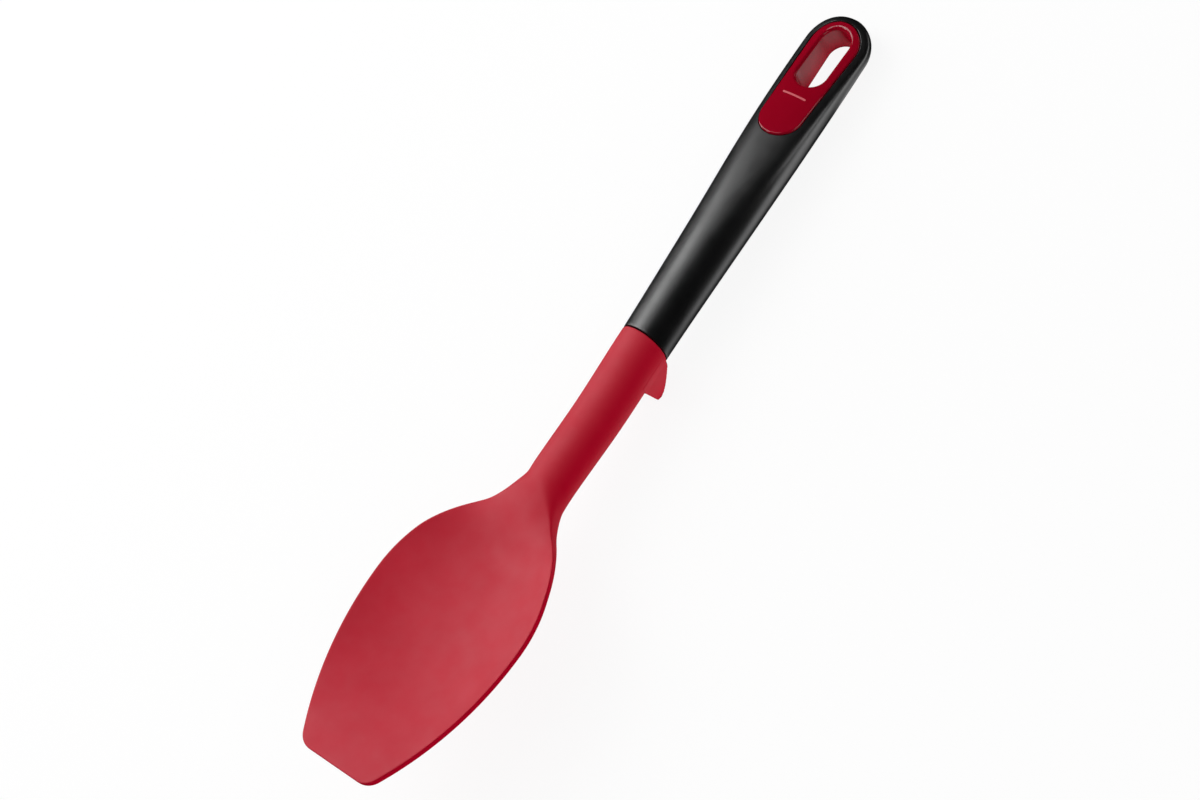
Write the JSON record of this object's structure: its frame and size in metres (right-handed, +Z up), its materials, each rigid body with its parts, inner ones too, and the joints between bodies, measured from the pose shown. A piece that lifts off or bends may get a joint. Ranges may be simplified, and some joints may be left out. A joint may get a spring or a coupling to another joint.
{
  "type": "silicone spoon",
  "caption": "Cooking spoon with a shallow straight-tipped silicone bowl on a round shaft, a fin-shaped rest under the collar and a slim handle with a hanging slot.",
  "frame": {"origin": "on the table under the middle of the spoon's box, as it lies on its lug and its handle's end", "axes": "+Y along the spoon towards the handle's end, +Z up out of the bowl, +X across the bowl"},
  "size_m": [0.063, 0.298, 0.0451],
  "materials": {
    "silicone": "satin red silicone with a soft pale sheen",
    "core_nylon": "dark grey nylon, hidden",
    "core_plastic": "black hard plastic, hidden",
    "weight_steel": "plain turned steel, hidden",
    "grip_black": "satin black",
    "inlay_red": "glossy deep red"
  },
  "bodies": {
    "root": {"silicone_head": "silicone", "head_core": "core_nylon", "handle_core": "core_plastic", "handle_weight": "weight_steel", "grip_sleeve": "grip_black", "hang_inlay": "inlay_red"}
  },
  "joints": []
}
